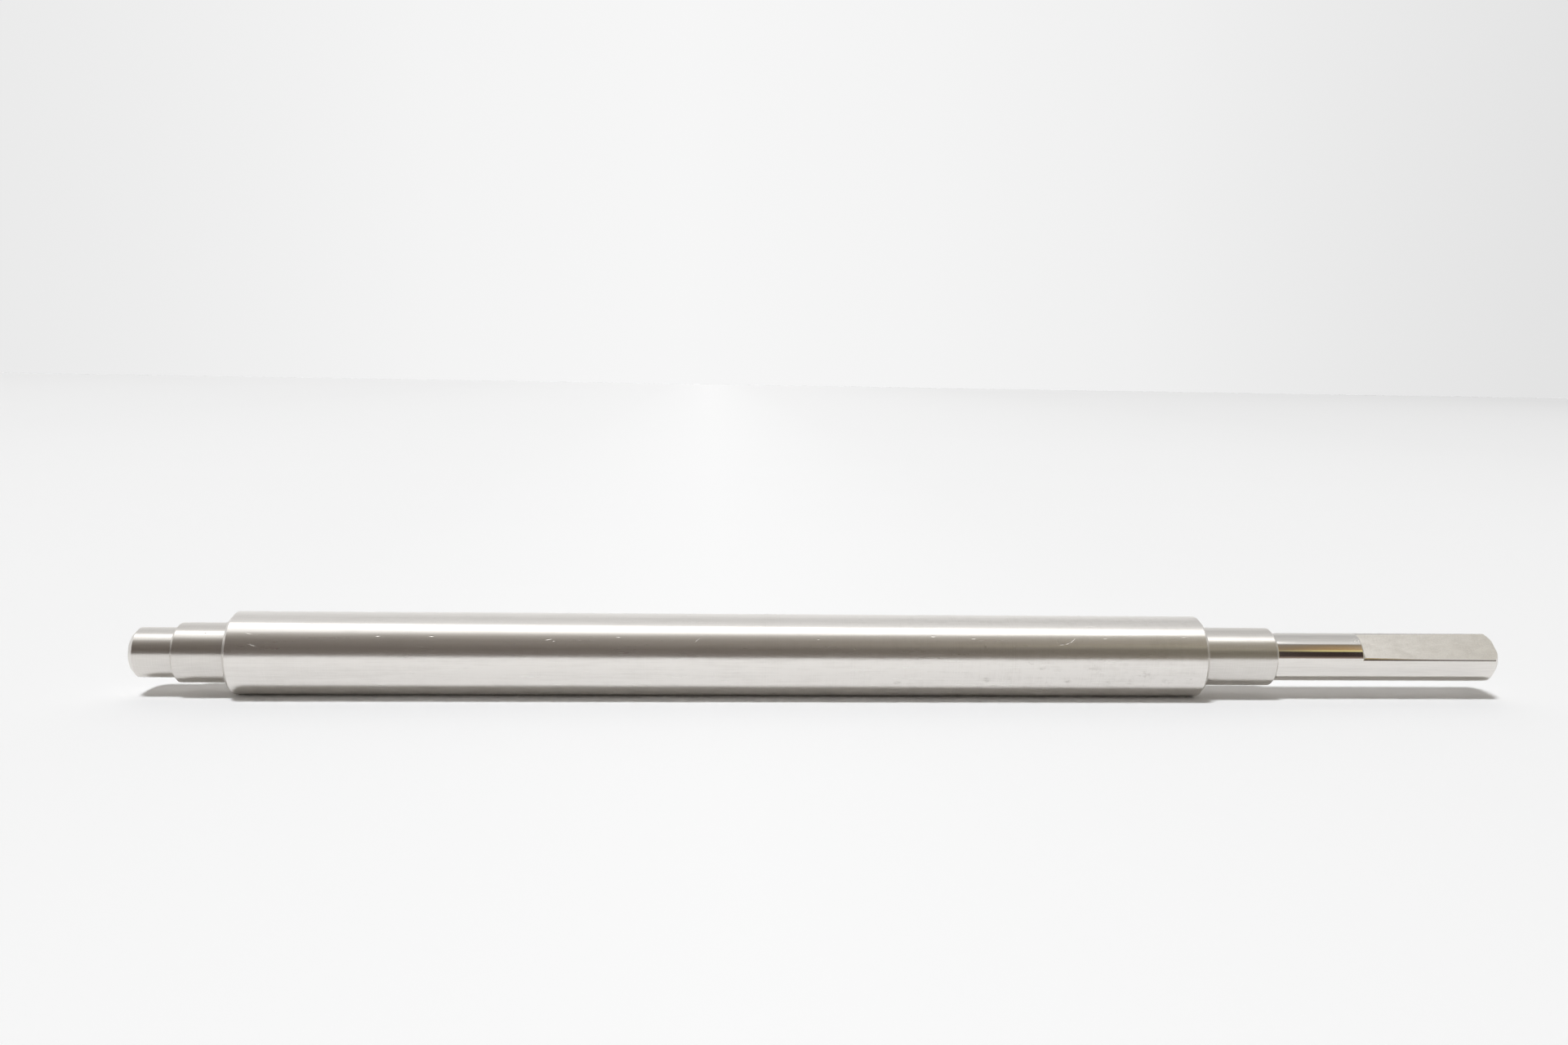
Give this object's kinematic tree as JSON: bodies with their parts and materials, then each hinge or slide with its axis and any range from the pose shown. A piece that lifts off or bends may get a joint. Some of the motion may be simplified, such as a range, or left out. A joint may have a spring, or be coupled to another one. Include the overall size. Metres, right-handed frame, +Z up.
{
  "type": "stepped shaft",
  "caption": "Turned steel shaft: a long thick body, a bearing journal at each end, a short tail spigot and a long drive end with a milled D-flat.",
  "frame": {"origin": "on the shaft's axis, in the middle of the drive-side bearing journal", "axes": "+X along the axis towards the flatted drive end; +Z up with the shaft lying down; the D-flat faces 50 degrees above the horizontal on the -Y side"},
  "size_m": [0.42, 0.025, 0.025],
  "materials": {
    "turned_steel": "bare steel, finely turned on the body and journals, polished on the drive end, satin-milled on the flat"
  },
  "bodies": {
    "root": {"stepped_shaft": "turned_steel"}
  },
  "joints": []
}
